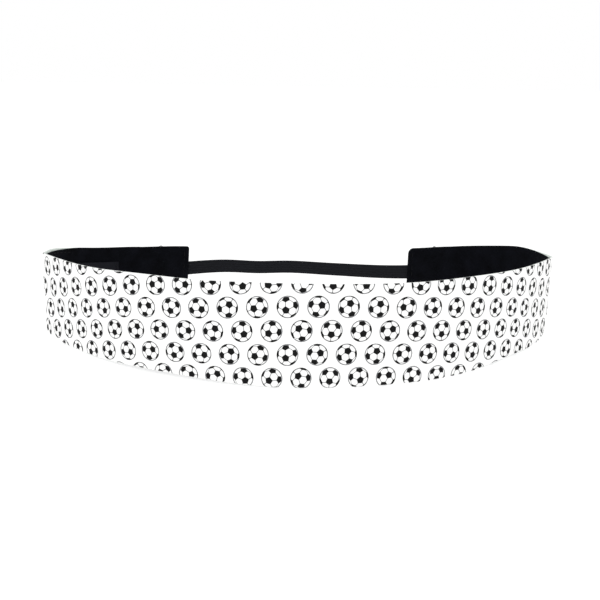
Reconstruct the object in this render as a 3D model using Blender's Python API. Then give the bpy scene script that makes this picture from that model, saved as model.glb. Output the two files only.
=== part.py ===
"""Sports headband: a printed ribbon with a velvet lining, closed behind by a narrow elastic.

Metres, +Z up, the front faces -Y and left is -X. The band stands on its lower edge, and the
origin is on that level, in the middle of the loop. Every strip is drawn flat, as it is cut:
X along the band, Y through its wall from the outer face inwards, Z up. It is then bent along
the loop's route. The soft band bends at four upright lines, which part it into five stretches.
"""

import math

import bmesh
import bpy
from mathutils import Vector

# The loop, measured over the outer face of the cover.
LOOP_WIDTH = 0.215
FRONT_TURN = math.radians(60.0)     # how far the front curves from its middle to a fold
FOLD_RADIUS = 0.008
TAIL_RADIUS = 0.0358
TAB_LENGTH = 0.020                  # the straight last stretch, which holds the elastic
FRONT_HEIGHT = 0.038
END_HEIGHT = 0.0198
END_LIFT = 0.008                    # how far the ends stand above the lower edge of the front
TAPER_POWER = 3.6                   # the band keeps its height in front and narrows late

# The wall, from outside to inside.
COVER_THICKNESS = 0.0007
LINING_THICKNESS = 0.0009
HEM_HEIGHT = 0.0006                 # the cover's long edges, turned in over the lining's
STRAP_WIDTH = 0.006
STRAP_THICKNESS = 0.0008
STRAP_TUCK = 0.012                  # elastic inside each end of the band
THREAD_WIDTH = 0.0004
THREAD_THICKNESS = 0.00025
ROW_INSET = 0.0017                  # from an edge of the band to its row of stitches
END_SEAM_INSET = 0.0017             # from an end of the band to the seam across it

# The label, on the inner face of the left tail.
LABEL_LENGTH = 0.025
LABEL_HEIGHT = 0.015
LABEL_THICKNESS = 0.0003
LABEL_TO_BEND = 0.0115              # from the label's end to the bend where the tab begins
LABEL_SEAM_INSET = 0.0011

GAP = 0.0003                        # between pieces that touch
FOLD_GAP = 0.0007                   # on each side of a fold's axis
BEND_GAP = 0.0009                   # on each side of a tab's axis
CHORD_ERROR = 0.00003               # how far a facet may cut inside its curve

# What follows from those sizes.
BACK_TURN = math.radians(90.0)
TAIL_END_TURN = math.radians(180.0)
FOLD_SHARE = FOLD_RADIUS * (1.0 - math.sin(FRONT_TURN))
FRONT_RADIUS = (LOOP_WIDTH / 2 - FOLD_SHARE) / math.sin(FRONT_TURN)
ARCS = (
    (FRONT_RADIUS, FRONT_TURN),
    (FOLD_RADIUS, BACK_TURN - FRONT_TURN),
    (TAIL_RADIUS, TAIL_END_TURN - BACK_TURN),
)
DEPTH = FRONT_RADIUS * (1.0 - math.cos(FRONT_TURN)) + FOLD_RADIUS * math.cos(FRONT_TURN) + TAIL_RADIUS

FRONT_END = FRONT_RADIUS * FRONT_TURN
FOLD_END = FRONT_END + FOLD_RADIUS * (BACK_TURN - FRONT_TURN)
FOLD_AXIS = (FRONT_END + FOLD_END) / 2
BEND_AXIS = FOLD_END + TAIL_RADIUS * (TAIL_END_TURN - BACK_TURN)
BAND_END = BEND_AXIS + TAB_LENGTH

LINING_OUTER = COVER_THICKNESS + GAP
WALL = LINING_OUTER + LINING_THICKNESS
STRAP_OUTER = COVER_THICKNESS + GAP
TAB_LINING_OUTER = STRAP_OUTER + STRAP_THICKNESS + GAP
TAB_WALL = TAB_LINING_OUTER + LINING_THICKNESS

PRINTED_WHITE = (0.86, 0.86, 0.84, 1.0)
VELVET_BLACK = (0.006, 0.006, 0.008, 1.0)
ELASTIC_BLACK = (0.012, 0.012, 0.016, 1.0)
THREAD_BLACK = (0.015, 0.015, 0.018, 1.0)
SATIN_BLACK = (0.02, 0.02, 0.022, 1.0)


def route(along):
    """Return x, y and heading on the cover's outer face, from the front's middle to the right."""
    x = y = heading = 0.0
    left_over = along
    for radius, turn in ARCS:
        length = min(left_over, radius * turn)
        ahead = heading + length / radius
        x += radius * (math.sin(ahead) - math.sin(heading))
        y += radius * (math.cos(heading) - math.cos(ahead))
        heading = ahead
        left_over -= length
    return x + left_over * math.cos(heading), y + left_over * math.sin(heading), heading


def place(along, inward, up):
    """Return the point `inward` of the outer face, at a height, on either side of the middle."""
    side = math.copysign(1.0, along)
    x, y, heading = route(abs(along))
    x -= inward * math.sin(heading)
    y += inward * math.cos(heading)
    return Vector((side * x, y - DEPTH / 2, up))


def low_edge(along):
    """Return the height of the band's lower edge, which lifts behind the folds."""
    share = (abs(along) - FOLD_END) / (BEND_AXIS - FOLD_END)
    return END_LIFT * min(max(share, 0.0), 1.0) ** 2


def high_edge(along):
    """Return the height of the band's upper edge."""
    share = min(abs(along) / BEND_AXIS, 1.0)
    return low_edge(along) + FRONT_HEIGHT - (FRONT_HEIGHT - END_HEIGHT) * share ** TAPER_POWER


def facet_stations(start, end):
    """Return where a strip between two stations is creased, so that its facets stay on the curve."""
    stations = []
    arc_start = 0.0
    for radius, turn in ARCS:
        arc = radius * turn
        count = math.ceil(arc / math.sqrt(8.0 * radius * CHORD_ERROR))
        stations += [arc_start + arc * step / count for step in range(count + 1)]
        arc_start += arc
    both_sides = {round(side * station, 7) for station in stations for side in (-1, 1)}
    return sorted(station for station in both_sides if start + GAP < station < end - GAP)


def box_profile(outer, inner, low, high):
    """Return a rectangular section: through the wall from outer to inner, and from low to high."""
    return [(outer, low), (inner, low), (inner, high), (outer, high)]


def cover_profile(wall):
    """Return the cover's section: a thin skin whose turned-in edges reach round the lining."""
    low_hem = HEM_HEIGHT
    high_hem = FRONT_HEIGHT - HEM_HEIGHT
    return [
        (0.0, 0.0), (wall, 0.0), (wall, low_hem), (COVER_THICKNESS, low_hem),
        (COVER_THICKNESS, high_hem), (wall, high_hem), (wall, FRONT_HEIGHT), (0.0, FRONT_HEIGHT),
    ]


def lining_profile(outer):
    """Return the lining's section, which lies between the cover's turned-in edges."""
    inset = HEM_HEIGHT + GAP
    return box_profile(outer, outer + LINING_THICKNESS, inset, FRONT_HEIGHT - inset)


def row_profiles(wall):
    """Return the sections of the lower and upper rows of stitches on a wall's inner face."""
    outer = wall + GAP
    inner = outer + THREAD_THICKNESS
    low = box_profile(outer, inner, ROW_INSET, ROW_INSET + THREAD_WIDTH)
    top = FRONT_HEIGHT - ROW_INSET
    return low, box_profile(outer, inner, top - THREAD_WIDTH, top)


def on_band(along, inward, up):
    """Return the bent place of a point whose height is counted from the nearer edge of the band."""
    if up > FRONT_HEIGHT / 2:
        return place(along, inward, high_edge(along) - (FRONT_HEIGHT - up))
    return place(along, inward, low_edge(along) + up)


def across_back(along, inward, up):
    """Return the place of a point on the straight line behind, along it to the left from its middle."""
    return Vector((-along, DEPTH / 2 - inward, up))


def make_strip(start, end, section, shape):
    """Extrude a section along the band, crease it where the route curves, and bend it to shape."""
    bm = bmesh.new()
    face = bm.faces.new([bm.verts.new((start, inward, up)) for inward, up in section])
    extruded = bmesh.ops.extrude_face_region(bm, geom=[face])
    far_end = [item for item in extruded["geom"] if isinstance(item, bmesh.types.BMVert)]
    bmesh.ops.translate(bm, verts=far_end, vec=(end - start, 0.0, 0.0))
    bmesh.ops.recalc_face_normals(bm, faces=bm.faces)
    for station in [] if shape is across_back else facet_stations(start, end):
        everything = bm.verts[:] + bm.edges[:] + bm.faces[:]
        bmesh.ops.bisect_plane(
            bm, geom=everything, plane_co=(station, 0.0, 0.0), plane_no=(1.0, 0.0, 0.0)
        )
    for vert in bm.verts:
        vert.co = shape(*vert.co)
    return bm


def material(name, colour, roughness):
    """Return a Principled material of one colour."""
    made = bpy.data.materials.new(name)
    made.use_nodes = True
    shader = made.node_tree.nodes["Principled BSDF"]
    shader.inputs["Base Color"].default_value = colour
    shader.inputs["Roughness"].default_value = roughness
    shader.inputs["Metallic"].default_value = 0.0
    return made


def add_node(name, start, end, section, axis, finish, shape=on_band):
    """Make one object of a strip of the given section, and hang it on its body's axis."""
    strip = make_strip(start, end, section, shape)
    if axis:
        bmesh.ops.translate(strip, verts=strip.verts, vec=-axis.matrix_world.translation)
    mesh = bpy.data.meshes.new(name)
    strip.to_mesh(mesh)
    strip.free()
    mesh.shade_smooth()
    mesh.set_sharp_from_angle(angle=math.radians(30.0))
    mesh.materials.append(finish)
    node = bpy.data.objects.new(name, mesh)
    bpy.context.collection.objects.link(node)
    node.parent = axis


def add_axis(name, point, parent=None):
    """Add the empty that a moving body hangs on, at a point of its joint's axis."""
    axis = bpy.data.objects.new(name, None)
    axis.empty_display_size = 0.01
    bpy.context.collection.objects.link(axis)
    axis.parent = parent
    axis.location = point - parent.matrix_world.translation if parent else point
    bpy.context.view_layer.update()
    return axis


def add_wall(stretch, start, end, axis, finishes, tab=False):
    """Add a stretch of band: its cover, its lining and its two rows of stitches."""
    ribbon, velvet, thread = finishes
    wall = TAB_WALL if tab else WALL
    lining_outer = TAB_LINING_OUTER if tab else LINING_OUTER
    row_start, row_end = start, end
    if tab:
        seam = END_SEAM_INSET + THREAD_WIDTH + GAP
        row_start, row_end = (start + seam, end) if start < -BEND_AXIS else (start, end - seam)
    low_row, high_row = row_profiles(wall)
    add_node(f"cover_{stretch}", start, end, cover_profile(wall), axis, ribbon)
    add_node(f"lining_{stretch}", start, end, lining_profile(lining_outer), axis, velvet)
    add_node(f"topstitch_lower_{stretch}", row_start, row_end, low_row, axis, thread)
    add_node(f"topstitch_upper_{stretch}", row_start, row_end, high_row, axis, thread)


def add_end_seam(side_name, side, axis, thread):
    """Add the seam across an end of the band, which closes it and holds the elastic."""
    near = BAND_END - END_SEAM_INSET - THREAD_WIDTH
    start, end = sorted((side * near, side * (near + THREAD_WIDTH)))
    outer = TAB_WALL + GAP
    section = box_profile(outer, outer + THREAD_THICKNESS, ROW_INSET, FRONT_HEIGHT - ROW_INSET)
    add_node(f"end_seam_{side_name}", start, end, section, axis, thread)


def add_label(axis, satin, thread):
    """Add the blank label on the left tail's inner face, with a seam at each of its ends."""
    outer = WALL + GAP
    inner = outer + LABEL_THICKNESS
    start = LABEL_TO_BEND - BEND_AXIS
    end = start + LABEL_LENGTH * TAIL_RADIUS / (TAIL_RADIUS - inner)
    middle = (start + end) / 2
    level = (low_edge(middle) + high_edge(middle)) / 2
    low, high = level - LABEL_HEIGHT / 2, level + LABEL_HEIGHT / 2
    add_node("blank_label", start, end, box_profile(outer, inner, low, high), axis, satin, place)

    thread_outer = inner + GAP
    thread_inner = thread_outer + THREAD_THICKNESS
    section = box_profile(thread_outer, thread_inner, low + THREAD_WIDTH, high - THREAD_WIDTH)
    rear = start + LABEL_SEAM_INSET
    fore = end - LABEL_SEAM_INSET - THREAD_WIDTH
    for seam_name, seam in (("rear", rear), ("fore", fore)):
        add_node(f"label_seam_{seam_name}", seam, seam + THREAD_WIDTH, section, axis, thread, place)


def add_elastic(left_tab, strap_end, elastic):
    """Add the elastic: the strap with its left end, and the right end, inside the right tab."""
    level = END_LIFT + END_HEIGHT / 2
    low, high = level - STRAP_WIDTH / 2, level + STRAP_WIDTH / 2
    section = box_profile(STRAP_OUTER, STRAP_OUTER + STRAP_THICKNESS, low, high)
    mouth = route(BAND_END)[0]
    tip = mouth + STRAP_TUCK
    add_node("elastic_strap", -mouth, tip, section, left_tab, elastic, across_back)
    add_node("elastic_right_end", -tip, -mouth - GAP, section, strap_end, elastic, across_back)


def build():
    """Build the band: the front, and on each side a tail and the tab that holds the elastic."""
    ribbon = material("printed_ribbon", PRINTED_WHITE, 0.7)
    velvet = material("velvet", VELVET_BLACK, 0.95)
    thread = material("polyester_thread", THREAD_BLACK, 0.6)
    elastic = material("knitted_elastic", ELASTIC_BLACK, 0.8)
    satin = material("satin", SATIN_BLACK, 0.35)
    finishes = (ribbon, velvet, thread)

    front_reach = FOLD_AXIS - FOLD_GAP
    add_wall("front", -front_reach, front_reach, None, finishes)

    tabs = {}
    for side_name, side in (("left", -1), ("right", 1)):
        tail = add_axis(f"{side_name}_fold_axis", place(side * FOLD_AXIS, WALL / 2, 0.0))
        tab = add_axis(f"{side_name}_tab_axis", place(side * BEND_AXIS, WALL / 2, 0.0), tail)
        start, end = sorted((side * (FOLD_AXIS + FOLD_GAP), side * (BEND_AXIS - BEND_GAP)))
        add_wall(f"{side_name}_tail", start, end, tail, finishes)
        start, end = sorted((side * (BEND_AXIS + BEND_GAP), side * BAND_END))
        add_wall(f"{side_name}_tab", start, end, tab, finishes, tab=True)
        add_end_seam(side_name, side, tab, thread)
        tabs[side_name] = tab
        if side_name == "left":
            add_label(tail, satin, thread)

    mouth = across_back(-route(BAND_END)[0], STRAP_OUTER, END_LIFT + END_HEIGHT / 2)
    strap_end = add_axis("elastic_slide_axis", mouth, tabs["left"])
    add_elastic(tabs["left"], strap_end, elastic)


for leftover in list(bpy.data.objects):
    bpy.data.objects.remove(leftover, do_unlink=True)
build()
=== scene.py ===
"""Looks of the sports headband: printed ribbon outside, velvet inside, elastic behind.

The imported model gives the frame. Each soft piece is drawn flat, as it is cut, in the distance
along the band and up its height, and is then laid on the loop with its hems, puckers and
slackness. Metres, +Z up, the front faces -Y and left is -X.
"""

import logging
import math
from collections.abc import Mapping
from dataclasses import dataclass, field
from enum import Enum

import bmesh
import bpy
import numpy as np
from mathutils import Matrix, Vector

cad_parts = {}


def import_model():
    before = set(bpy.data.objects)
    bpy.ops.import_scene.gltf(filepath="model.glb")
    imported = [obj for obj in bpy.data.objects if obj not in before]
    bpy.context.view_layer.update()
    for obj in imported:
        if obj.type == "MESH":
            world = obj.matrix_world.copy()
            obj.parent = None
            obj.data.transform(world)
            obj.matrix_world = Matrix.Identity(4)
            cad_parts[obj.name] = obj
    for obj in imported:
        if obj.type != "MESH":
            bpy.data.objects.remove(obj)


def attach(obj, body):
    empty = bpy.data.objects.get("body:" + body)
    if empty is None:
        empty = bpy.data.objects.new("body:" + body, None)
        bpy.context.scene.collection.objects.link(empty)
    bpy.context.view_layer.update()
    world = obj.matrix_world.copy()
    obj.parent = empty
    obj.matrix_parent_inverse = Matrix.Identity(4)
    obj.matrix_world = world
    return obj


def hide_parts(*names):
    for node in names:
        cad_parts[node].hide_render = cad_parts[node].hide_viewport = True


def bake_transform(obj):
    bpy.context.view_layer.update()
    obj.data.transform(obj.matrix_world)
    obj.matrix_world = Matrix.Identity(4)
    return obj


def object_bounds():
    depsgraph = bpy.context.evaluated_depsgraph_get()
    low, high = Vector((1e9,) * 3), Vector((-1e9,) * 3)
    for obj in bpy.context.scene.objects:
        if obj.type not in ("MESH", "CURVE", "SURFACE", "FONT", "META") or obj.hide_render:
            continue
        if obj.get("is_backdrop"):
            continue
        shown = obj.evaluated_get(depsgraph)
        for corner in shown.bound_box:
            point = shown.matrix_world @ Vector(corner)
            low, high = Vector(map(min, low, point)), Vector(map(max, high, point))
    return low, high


LOG = logging.getLogger("headband")
MM = 0.001
Array = np.ndarray
Material = bpy.types.Material
Mesh = bmesh.types.BMesh
Piece = bpy.types.Object
Socket = bpy.types.NodeSocket
Triple = tuple[float, float, float]
ROLL_STEPS = 7      # points round a half turn of cloth or of an elastic's edge
HEM_STEPS = 4       # points up a turned-in hem


# ---------------------------------------------------------------- the loop and its wall


class Side(Enum):
    """A side of the band, as seen from the front."""

    LEFT = -1
    RIGHT = 1

    @property
    def word(self) -> str:
        """Name of the side, as the nodes and bodies spell it."""
        return self.name.lower()


class Row(Enum):
    """One of the two rows of topstitching, by the share of the height that it hangs on."""

    LOWER = 0.0
    UPPER = 1.0

    @property
    def word(self) -> str:
        """Name of the row, as the nodes spell it."""
        return self.name.lower()


@dataclass(frozen=True)
class Route:
    """The line that the band's outer face follows, and the heights of its edges."""

    loop_width: float
    front_height: float
    front_turn: float = math.radians(60.0)
    fold_radius: float = 8.0 * MM
    tail_radius: float = 35.8 * MM
    tab_length: float = 20.0 * MM
    end_height: float = 19.8 * MM
    end_lift: float = 8.0 * MM
    taper_power: float = 3.6
    bend_ease: float = 0.06

    @property
    def arcs(self) -> list[tuple[float, float]]:
        """Radius and turn of the front, the fold and the tail."""
        fold_share = self.fold_radius * (1.0 - math.sin(self.front_turn))
        front_radius = (self.loop_width / 2 - fold_share) / math.sin(self.front_turn)
        radii = (front_radius, self.fold_radius, self.tail_radius)
        turns = (self.front_turn, math.pi / 2 - self.front_turn, math.pi / 2)
        return list(zip(radii, turns, strict=True))

    @property
    def fold_end(self) -> float:
        """Distance along the band from its middle to the end of a fold."""
        return sum(radius * turn for radius, turn in self.arcs[:2])

    @property
    def bend(self) -> float:
        """Distance along the band to the bend where the straight end begins."""
        return sum(radius * turn for radius, turn in self.arcs)

    @property
    def end(self) -> float:
        """Distance along the band from its middle to either end."""
        return self.bend + self.tab_length

    @property
    def depth(self) -> float:
        """Depth of the loop over its outer faces."""
        (front, turn), (fold, _), (tail, _) = self.arcs
        return front * (1.0 - math.cos(turn)) + fold * math.cos(turn) + tail

    def locate(self, along: Array, inward: Array) -> tuple[Array, Array]:
        """Find where points of the wall are in plan.

        Args:
            along: signed distances from the front's middle, to the right.
            inward: distances from the outer face into the loop.

        Returns:
            The points' X and Y.
        """
        x, y = np.zeros_like(along), np.zeros_like(along)
        heading = np.zeros_like(along)
        left_over = np.abs(along)
        for radius, turn in self.arcs:
            length = np.minimum(left_over, radius * turn)
            ahead = heading + length / radius
            x += radius * (np.sin(ahead) - np.sin(heading))
            y += radius * (np.cos(heading) - np.cos(ahead))
            heading = ahead
            left_over = left_over - length
        x += left_over * np.cos(heading) - inward * np.sin(heading)
        y += left_over * np.sin(heading) + inward * np.cos(heading)
        return np.where(along < 0.0, -x, x), y - self.depth / 2

    def edges(self, along: Array) -> tuple[Array, Array]:
        """Find the heights of the lower and upper edge at distances along the band."""
        behind = (np.abs(along) - self.fold_end) / (self.bend - self.fold_end)
        lift = self.end_lift * np.clip(behind, 0.0, 1.0) ** 2
        eased = -self.bend_ease * np.logaddexp(-behind / self.bend_ease, -1.0 / self.bend_ease)
        low = self.end_lift * np.clip(eased, 0.0, 1.0) ** 2
        share = np.clip(np.abs(along) / self.bend, 0.0, 1.0)
        narrowing = (self.front_height - self.end_height) * share**self.taper_power
        return low, lift + self.front_height - narrowing


def smooth(value: Array) -> Array:
    """Ease values from 0 to 1 with level ends."""
    value = np.clip(value, 0.0, 1.0)
    return value * value * (3.0 - 2.0 * value)


@dataclass(frozen=True)
class Swell:
    """A place where one edge of the soft band stands up or dips. Millimetres, along the band."""

    edge: Row
    centre: float
    width: float
    height: float

    def lift(self, along: Array, share: Array) -> Array:
        """Heights to add to points of the band."""
        weight = share if self.edge is Row.UPPER else 1.0 - share
        return self.height * MM * weight * np.exp(-(((along - self.centre * MM) / (self.width * MM)) ** 2))


@dataclass(frozen=True)
class Ripple:
    """A slow wave along the wall: its length per radian, its phase, its lean up the wall and its size."""

    length: float
    phase: float
    lean: float
    size: float

    def height(self, along: Array, share: Array) -> Array:
        """Height of the wave at points of the band."""
        return np.sin(along / self.length + self.phase + self.lean * share) * self.size


@dataclass(frozen=True)
class Slackness:
    """How far the soft wall strays from its route: slow waves, and creases by the folds.

    `low_wave` is the lower edge's share of the wave, for that edge rests on the ground.
    """

    bulge: float = 0.45 * MM
    edge_wave: float = 0.30 * MM
    edge_wave_start: float = 40.0 * MM
    low_wave: float = 0.3
    crease: float = 0.30 * MM
    crease_lead: float = 3.0 * MM
    crease_reach: float = 11.0 * MM
    crease_lean: float = 16.0 * MM
    crease_length: float = 2.3 * MM
    rise: float = 1.1 * MM
    right_rise: float = 1.2 * MM
    right_rise_from: float = 142.0 * MM
    right_rise_over: float = 18.0 * MM
    ripples: tuple[Ripple, ...] = (
        Ripple(17.0 * MM, 1.3, 0.9, 0.5),
        Ripple(9.3 * MM, -0.7, 2.1, 0.3),
        Ripple(31.0 * MM, 2.6, -1.4, 0.4),
    )
    swells: tuple[Swell, ...] = (
        Swell(Row.UPPER, -90.0, 28.0, -1.2),
        Swell(Row.UPPER, 85.0, 28.0, -1.0),
        Swell(Row.UPPER, -41.0, 20.0, -0.85),
        Swell(Row.UPPER, 42.0, 32.0, -0.85),
        Swell(Row.UPPER, 152.0, 18.0, 0.95),
        Swell(Row.UPPER, -207.0, 9.0, 0.8),
        Swell(Row.UPPER, -170.0, 16.0, -1.15),
        Swell(Row.UPPER, -142.0, 9.0, 0.6),
        Swell(Row.LOWER, -56.0, 32.0, 1.8),
        Swell(Row.LOWER, 90.0, 15.0, 1.0),
    )

    def waves(self, along: Array, share: Array) -> Array:
        """Slow waves of the wall, about -1 to 1, different along the two edges."""
        return sum(ripple.height(along, share) for ripple in self.ripples)

    def inward(self, along: Array, share: Array, route: Route) -> Array:
        """Displacement through the wall.

        Args:
            along: distances along the band.
            share: heights as shares of the band's own, 0 at the lower edge.
            route: the loop.

        Returns:
            Inward displacements in metres.
        """
        slow = self.bulge * self.waves(along, share)
        from_fold = np.abs(along) - (route.fold_end - self.crease_lead)
        near_fold = np.exp(-((from_fold / self.crease_reach) ** 2))
        leaning = from_fold + (share - 0.5) * self.crease_lean * np.sign(along)
        lines = np.sin(leaning / self.crease_length)
        return slow + self.crease * near_fold * lines * np.sin(np.pi * np.clip(share, 0.0, 1.0))

    def upward(self, along: Array, share: Array) -> Array:
        """Waviness of the two edges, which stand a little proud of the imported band's.

        Args:
            along: distances along the band.
            share: heights as shares of the band's own.

        Returns:
            Heights to add.
        """
        wave = self.edge_wave * self.waves(along + self.edge_wave_start, share)
        wave = np.where(share > 0.5, wave, np.abs(wave) * self.low_wave) * np.abs(2.0 * share - 1.0)
        top = self.rise + self.right_rise * smooth((along - self.right_rise_from) / self.right_rise_over)
        return wave + share * top + sum(swell.lift(along, share) for swell in self.swells)


@dataclass(frozen=True)
class Section:
    """A strip's cross-section: each row's depth in the wall, and its place from the nearer edge."""

    inward: Array
    share: Array
    shift: Array
    cloth: Array


def hemmed_section(
    back: float, radius: float, inset: float, hem: float, face_rows: int, outward: bool
) -> Section:
    """Draw a layer whose long edges are turned in.

    Args:
        back: depth of the turned-in part, from the band's outer face.
        radius: half the depth between the layer's face and its turned-in part.
        inset: distance of the layer's edges from the band's.
        hem: height of the turned-in part.
        face_rows: number of rows up the face.
        outward: whether the face looks out of the loop, as the cover's does.

    Returns:
        The section, from the hidden edge below to the hidden edge above for a face that looks
        out, and from above to below for one that looks in.
    """
    turn = np.linspace(0.0, math.pi, ROLL_STEPS)
    sign = -1.0 if outward else 1.0
    tangent = inset + radius
    hidden = np.linspace(hem, radius, HEM_STEPS)[:-1] + inset
    low_roll = tangent - radius * np.sin(turn)
    roll_cloth = tangent - radius * (math.pi - turn)
    hidden_cloth = roll_cloth[0] - (hidden - tangent)
    climb = np.linspace(0.0, 1.0, face_rows + 2)[1:-1]
    level = tangent * (1.0 - 2.0 * climb)
    low_depth = back + sign * radius * (1.0 - np.cos(turn))
    face_depth = np.full(face_rows, back + sign * 2.0 * radius)
    hidden_depth = np.full(hidden.size, back)
    edge = np.zeros(hidden.size + turn.size)
    inward = np.concatenate([hidden_depth, low_depth, face_depth, low_depth[::-1], hidden_depth])
    share = np.concatenate([edge, climb, edge + 1.0])
    shift = np.concatenate([hidden, low_roll, level, -low_roll[::-1], -hidden[::-1]])
    cloth = np.concatenate([hidden_cloth, roll_cloth, level, -roll_cloth[::-1], -hidden_cloth[::-1]])
    if outward:
        return Section(inward, share, shift, cloth)
    return Section(inward[::-1], share[::-1], shift[::-1], cloth[::-1])


@dataclass(frozen=True)
class Wall:
    """Sizes through the wall, and the places of its seams. Distances are inward of the outer face.

    Of `lining_lags` and `corners`, the first is the left end's and the second the right end's.
    `left_slant` is the share of the left end's reach at its foot, and what is added up to its top.
    """

    route: Route
    slackness: Slackness = field(default_factory=Slackness)
    hem_radius: float = 0.55 * MM
    hem_depth: float = 3.0 * MM
    cover_thickness: float = 0.35 * MM
    cover_pucker: float = 0.05 * MM
    cover_strap_rise: float = 0.10 * MM
    cover_closed: float = 1.08 * MM
    cover_closed_rise: float = 0.14 * MM
    lining_back: float = 1.12 * MM
    lining_radius: float = 0.42 * MM
    lining_inset: float = 0.85 * MM
    lining_hem: float = 4.0 * MM
    lining_thickness: float = 0.40 * MM
    lining_pucker: float = 0.38 * MM
    lining_closed: float = 1.14 * MM
    lining_closed_rise: float = 0.74 * MM
    lining_reach: float = 1.0 * MM
    lining_reach_over: float = 18.0 * MM
    lining_lags: tuple[float, float] = (9.0 * MM, -3.0 * MM)
    edge_follow: float = 1.8
    low_edge_follow: float = 0.8
    row_inset: float = 1.9 * MM
    stitch_pitch: float = 2.6 * MM
    stitch_dimple: float = 0.22
    groove: float = 0.75 * MM
    end_seam: float = 1.9 * MM
    strap_half: float = 3.0 * MM
    strap_tuck: float = 12.0 * MM
    strap_rise: float = 0.60 * MM
    strap_shoulder: float = 2.2 * MM
    strap_ramp: float = 2.5 * MM
    end_roll: float = 1.3 * MM
    end_closure: float = 0.95
    end_firmness: float = 0.35
    left_reach: float = 1.1 * MM
    left_slant: tuple[float, float] = (0.45, 1.1)
    corners: tuple[float, float] = (1.0 * MM, 2.4 * MM)

    @property
    def lining_face(self) -> float:
        """Distance from the outer face to the lining's velvet face."""
        return self.lining_back + 2.0 * self.lining_radius

    def point(self, along: Array, inward: Array, share: Array, shift: Array) -> Array:
        """Lay points of the flat wall on the loop.

        Args:
            along: distances along the band from the front's middle.
            inward: distances through the wall from its outer face.
            share: heights as shares of the band's, from its lower edge.
            shift: heights to add, in metres.

        Returns:
            An array of points, one row each.
        """
        low, high = self.route.edges(along)
        up = low + share * (high - low) + shift
        height = np.clip((up - low) / (high - low), 0.0, 1.0)
        inward = inward + self.slackness.inward(along, height, self.route)
        up = up + self.slackness.upward(along, height) * self.loose(along)
        x, y = self.route.locate(along - self.longer(along, height), inward)
        return np.stack([x, y, up], axis=-1)

    def loose(self, along: Array) -> Array:
        """How freely the edges may wave: fully, but for the last stretch at each end."""
        return 1.0 - self.end_firmness * smooth((np.abs(along) - self.route.bend) / self.route.tab_length)

    def longer(self, along: Array, height: Array) -> Array:
        """How far the left end reaches past its mark, most at the top, for it was cut askew."""
        into_end = smooth((-along - self.route.bend) / self.route.tab_length)
        least, slant = self.left_slant
        return self.left_reach * (least + slant * height) * into_end

    def from_rows(self, along: Array, share: Array, shift: Array) -> Array:
        """Find how far points are from the nearer row of stitches."""
        low, high = self.route.edges(along)
        up = share * (high - low) + shift
        return np.minimum(np.abs(up - self.row_inset), np.abs(high - low - self.row_inset - up))

    def tuck_out(self, along: Array) -> Array:
        """How much nearer to the cover's edges the lining's lie behind the folds."""
        lag = np.where(along < 0.0, *self.lining_lags)
        behind = np.abs(along) - self.route.fold_end - lag
        return self.lining_reach * smooth(behind / self.lining_reach_over)

    def pucker(self, along: Array, share: Array, shift: Array) -> Array:
        """How strongly the stitches pinch the wall, from 0 to 1."""
        to_row = self.from_rows(along, share, shift)
        to_end = np.abs(self.route.end - self.end_seam - np.abs(along))
        groove = np.exp(-((np.minimum(to_row, to_end) / self.groove) ** 2))
        wave = np.cos(2.0 * np.pi * along / self.stitch_pitch)
        per_stitch = 1.0 - self.stitch_dimple + self.stitch_dimple * wave
        return groove * per_stitch

    def over_strap(self, along: Array, share: Array, shift: Array) -> Array:
        """How fully points lie over the tucked elastic, from 0 to 1."""
        low, high = self.route.edges(along)
        from_middle = np.abs((share - 0.5) * (high - low) + shift)
        across = 1.0 - smooth((from_middle - self.strap_half) / self.strap_shoulder)
        start = self.route.end - self.strap_tuck - self.strap_ramp
        return across * smooth((np.abs(along) - start) / self.strap_ramp)

    def closing(self, along: Array) -> Array:
        """How far a layer has turned in at an end of the band: nearly 1 there, round as a hem."""
        from_end = np.clip((self.route.end - np.abs(along)) / self.end_roll, 0.0, 1.0)
        return self.end_closure * (1.0 - np.sqrt(1.0 - (1.0 - from_end) ** 2))

    def layer_depth(self, along: Array, section: Section, row: Array, outward: bool) -> Array:
        """Find the depth of a cover's or lining's points, with stitches, strap and ends in it.

        Args:
            along: distances along the band.
            section: the layer's cross-section.
            row: each point's row in the section.
            outward: whether the layer is the cover.

        Returns:
            Distances inward of the outer face.
        """
        share, shift = section.share[row], section.shift[row]
        depth = section.inward[row]
        pucker = self.pucker(along, share, shift)
        strap = self.over_strap(along, share, shift)
        if outward:
            on_face = np.clip(1.0 - depth / (1.2 * self.hem_radius), 0.0, 1.0)
            depth = depth + self.cover_pucker * pucker * on_face - self.cover_strap_rise * strap
            target = self.cover_closed - self.cover_closed_rise * strap
        else:
            on_face = np.clip((depth - self.lining_back) / (1.6 * self.lining_radius), 0.0, 1.0)
            depth = depth - self.lining_pucker * pucker * on_face + self.strap_rise * strap * on_face
            target = self.lining_closed + self.lining_closed_rise * strap
        return depth + (target - depth) * self.closing(along)

    def corner(self, along: Array, share: Array) -> Array:
        """How far the edges draw in at the rounded corners of the ends, in metres."""
        radius = np.where(along > 0.0, self.corners[1], self.corners[0])
        from_end = np.clip(self.route.end - np.abs(along), 0.0, radius)
        drawn = radius - np.sqrt(radius**2 - (radius - from_end) ** 2)
        return drawn * (1.0 - 2.0 * share)


# ---------------------------------------------------------------- mesh work


def stations(start: float, end: float, spacing: float) -> Array:
    """Spread distances evenly from start to end, at most `spacing` apart."""
    count = max(2, math.ceil(abs(end - start) / spacing) + 1)
    return np.linspace(start, end, count)


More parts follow.
